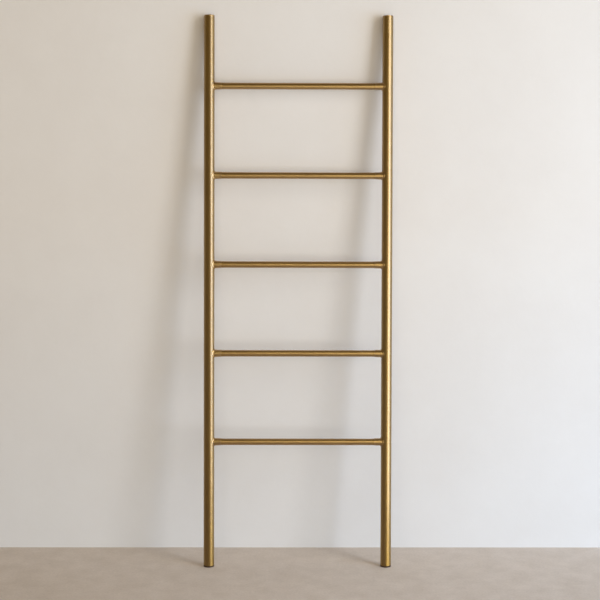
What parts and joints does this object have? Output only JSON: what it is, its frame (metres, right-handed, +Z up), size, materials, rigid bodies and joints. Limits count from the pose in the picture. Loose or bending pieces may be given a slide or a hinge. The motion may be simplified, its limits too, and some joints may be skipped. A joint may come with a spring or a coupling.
{
  "type": "towel ladder",
  "caption": "Leaning towel ladder of round tube: side rails, rungs seated in flared saddle sockets, capped rail ends, level rubber feet and wall bumpers.",
  "frame": {"origin": "on the floor, midway between the rails and midway between the front of the feet and the wall", "axes": "+Z up, +Y towards the wall that the ladder leans on, +X to the right as seen from the front"},
  "size_m": [0.53, 0.1958, 1.543],
  "materials": {
    "antique_brass": "satin antique brass, lacquered",
    "plain_steel": "zinc-plated",
    "dark_rubber": "matt moulded rubber"
  },
  "bodies": {
    "root": {"left_rail": "antique_brass", "right_rail": "antique_brass", "rung_1": "antique_brass", "rung_1_left_socket": "antique_brass", "rung_1_left_plug": "plain_steel", "rung_1_left_hole_cap": "antique_brass", "rung_1_right_socket": "antique_brass", "rung_1_right_plug": "plain_steel", "rung_1_right_hole_cap": "antique_brass", "rung_2": "antique_brass", "rung_2_left_socket": "antique_brass", "rung_2_left_plug": "plain_steel", "rung_2_left_hole_cap": "antique_brass", "rung_2_right_socket": "antique_brass", "rung_2_right_plug": "plain_steel", "rung_2_right_hole_cap": "antique_brass", "rung_3": "antique_brass", "rung_3_left_socket": "antique_brass", "rung_3_left_plug": "plain_steel", "rung_3_left_hole_cap": "antique_brass", "rung_3_right_socket": "antique_brass", "rung_3_right_plug": "plain_steel", "rung_3_right_hole_cap": "antique_brass", "rung_4": "antique_brass", "rung_4_left_socket": "antique_brass", "rung_4_left_plug": "plain_steel", "rung_4_left_hole_cap": "antique_brass", "rung_4_right_socket": "antique_brass", "rung_4_right_plug": "plain_steel", "rung_4_right_hole_cap": "antique_brass", "rung_5": "antique_brass", "rung_5_left_socket": "antique_brass", "rung_5_left_plug": "plain_steel", "rung_5_left_hole_cap": "antique_brass", "rung_5_right_socket": "antique_brass", "rung_5_right_plug": "plain_steel", "rung_5_right_hole_cap": "antique_brass", "joint_screws": "plain_steel", "joint_washers": "plain_steel", "left_top_cap": "antique_brass", "left_foot": "dark_rubber", "left_bumper": "dark_rubber", "right_top_cap": "antique_brass", "right_foot": "dark_rubber", "right_bumper": "dark_rubber"}
  },
  "joints": []
}
